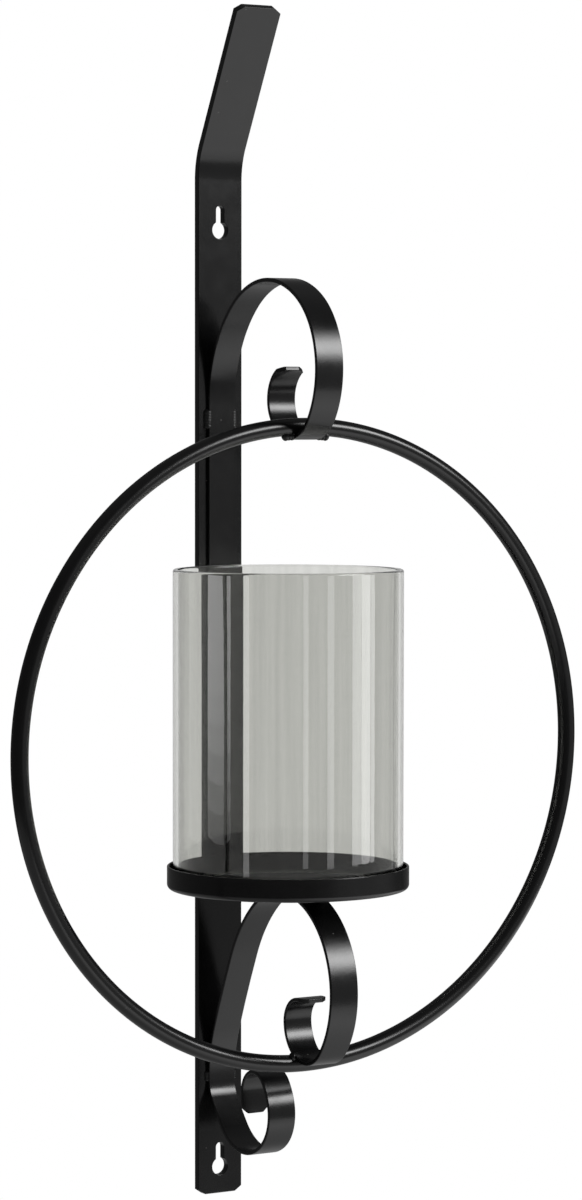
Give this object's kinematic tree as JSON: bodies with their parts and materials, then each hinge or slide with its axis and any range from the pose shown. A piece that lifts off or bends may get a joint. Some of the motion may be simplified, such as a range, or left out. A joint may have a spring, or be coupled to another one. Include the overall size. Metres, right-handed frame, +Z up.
{
  "type": "torch sconce",
  "caption": "Black steel wall bracket with a leaning top, scrolled strips and a round hoop, holding a shallow dish with a loose open glass cylinder for a candle.",
  "frame": {"origin": "on the wall plane, midway between the centres of the two keyholes' round holes", "axes": "+X to the right along the wall, +Y into the wall, +Z up"},
  "size_m": [0.3186, 0.1301, 0.5957],
  "materials": {
    "black_powder_coat": "satin",
    "clear_glass": "polished"
  },
  "bodies": {
    "bracket": {"back_bar": "black_powder_coat", "upper_scroll": "black_powder_coat", "lower_scroll": "black_powder_coat", "hoop": "black_powder_coat", "hoop_joint_weld": "black_powder_coat", "candle_dish": "black_powder_coat", "upper_scroll_welds": "black_powder_coat", "lower_scroll_welds": "black_powder_coat", "hook_welds": "black_powder_coat", "curl_welds": "black_powder_coat", "dish_welds": "black_powder_coat"},
    "glass": {"glass_cylinder": "clear_glass"}
  },
  "joints": [
    {"name": "glass_lift", "type": "slide", "parent": "bracket", "child": "glass", "axis": [0, 0, 1], "range_m": [0, 0.045]}
  ]
}
